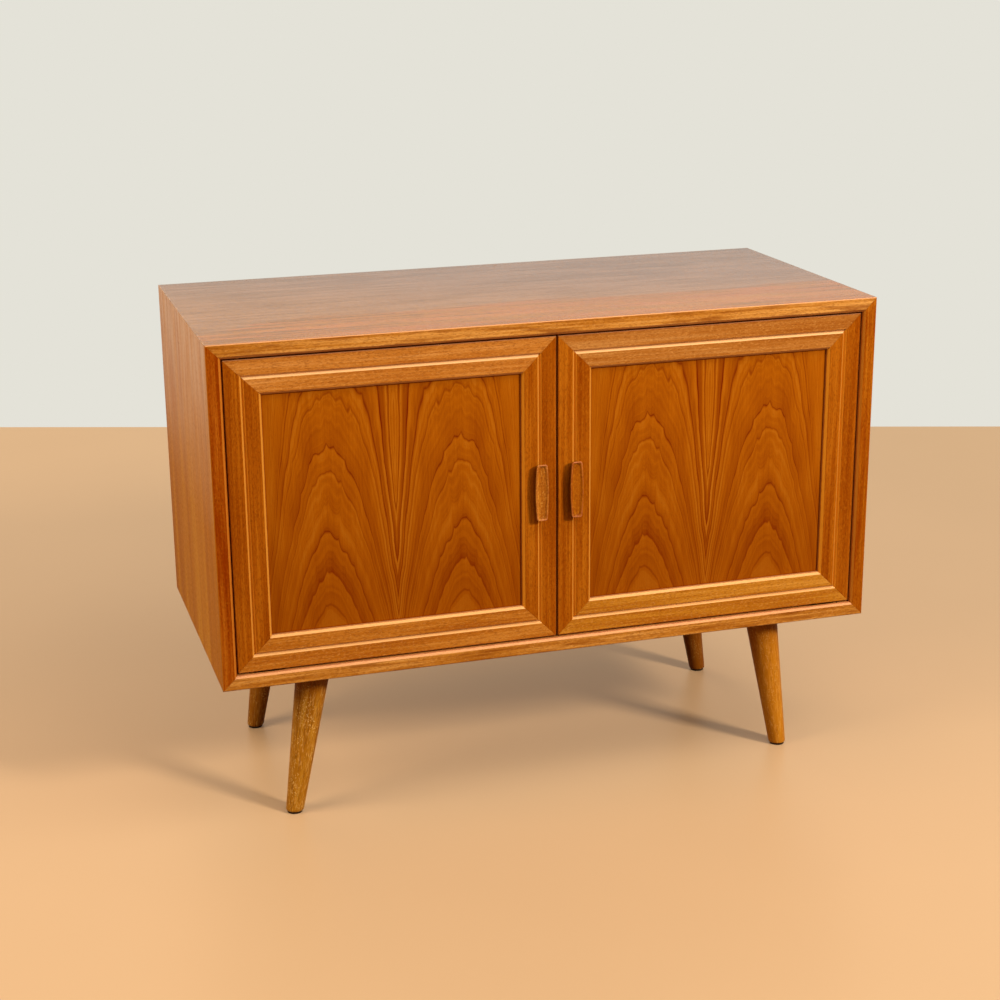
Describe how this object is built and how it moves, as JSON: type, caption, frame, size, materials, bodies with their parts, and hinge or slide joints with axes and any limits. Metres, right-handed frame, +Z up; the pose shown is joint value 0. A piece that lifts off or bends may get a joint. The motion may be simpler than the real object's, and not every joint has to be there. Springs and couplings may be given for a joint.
{
  "type": "sideboard",
  "caption": "Small two-door sideboard with mitred teak case, moulded frame doors, carved pulls and splayed tapered legs.",
  "frame": {"origin": "on the floor, in the middle of the object's box", "axes": "+X along the width, the doors face -Y, +Z up"},
  "size_m": [0.9, 0.427, 0.658],
  "materials": {
    "teak_veneer": "oiled satin teak veneer",
    "solid_teak": "oiled satin solid teak",
    "oak": "satin lacquered oak",
    "plywood": "plain sanded plywood",
    "brass": "brushed brass",
    "steel": "zinc plated steel",
    "catch_plastic": "matt brown moulded plastic",
    "felt": "pressed dark felt"
  },
  "bodies": {
    "carcass": {"top_panel": "teak_veneer", "bottom_panel": "teak_veneer", "side_panel_left": "teak_veneer", "side_panel_right": "teak_veneer", "front_lipping_top": "solid_teak", "front_lipping_bottom": "solid_teak", "front_lipping_left": "solid_teak", "front_lipping_right": "solid_teak", "mitre_splines": "plywood", "back_panel": "plywood", "back_screws": "steel", "centre_divider": "teak_veneer", "shelf_left": "teak_veneer", "shelf_right": "teak_veneer", "shelf_pins": "brass", "hinge_leaf_carcass_left_top": "brass", "hinge_leaf_carcass_left_bottom": "brass", "hinge_leaf_carcass_right_top": "brass", "hinge_leaf_carcass_right_bottom": "brass", "hinge_pins": "brass", "hinge_washers": "brass", "carcass_screws": "brass", "catch_left": "catch_plastic", "catch_right": "catch_plastic", "catch_magnets": "steel", "leg_front_left": "oak", "leg_front_right": "oak", "leg_back_left": "oak", "leg_back_right": "oak", "leg_plates": "steel", "leg_plate_screws": "steel", "hanger_bolts": "steel", "foot_glides": "felt"},
    "door_left": {"door_left_stile_hinge": "solid_teak", "door_left_stile_meeting": "solid_teak", "door_left_rail_top": "solid_teak", "door_left_rail_bottom": "solid_teak", "door_left_mitre_keys": "plywood", "door_left_panel": "teak_veneer", "door_left_pull": "solid_teak", "door_left_pull_screws": "brass", "hinge_leaf_door_left_top": "brass", "hinge_leaf_door_left_bottom": "brass", "door_left_screws": "brass", "door_left_strike_plate": "steel"},
    "door_right": {"door_right_stile_hinge": "solid_teak", "door_right_stile_meeting": "solid_teak", "door_right_rail_top": "solid_teak", "door_right_rail_bottom": "solid_teak", "door_right_mitre_keys": "plywood", "door_right_panel": "teak_veneer", "door_right_pull": "solid_teak", "door_right_pull_screws": "brass", "hinge_leaf_door_right_top": "brass", "hinge_leaf_door_right_bottom": "brass", "door_right_screws": "brass", "door_right_strike_plate": "steel"}
  },
  "joints": [
    {"name": "door_left_hinge", "type": "hinge", "parent": "carcass", "child": "door_left", "pos_m": [-0.4104, -0.196, 0.433], "axis": [0, 0, -1], "range_deg": [0, 140]},
    {"name": "door_right_hinge", "type": "hinge", "parent": "carcass", "child": "door_right", "pos_m": [0.4104, -0.196, 0.433], "axis": [0, 0, 1], "range_deg": [0, 140]}
  ]
}
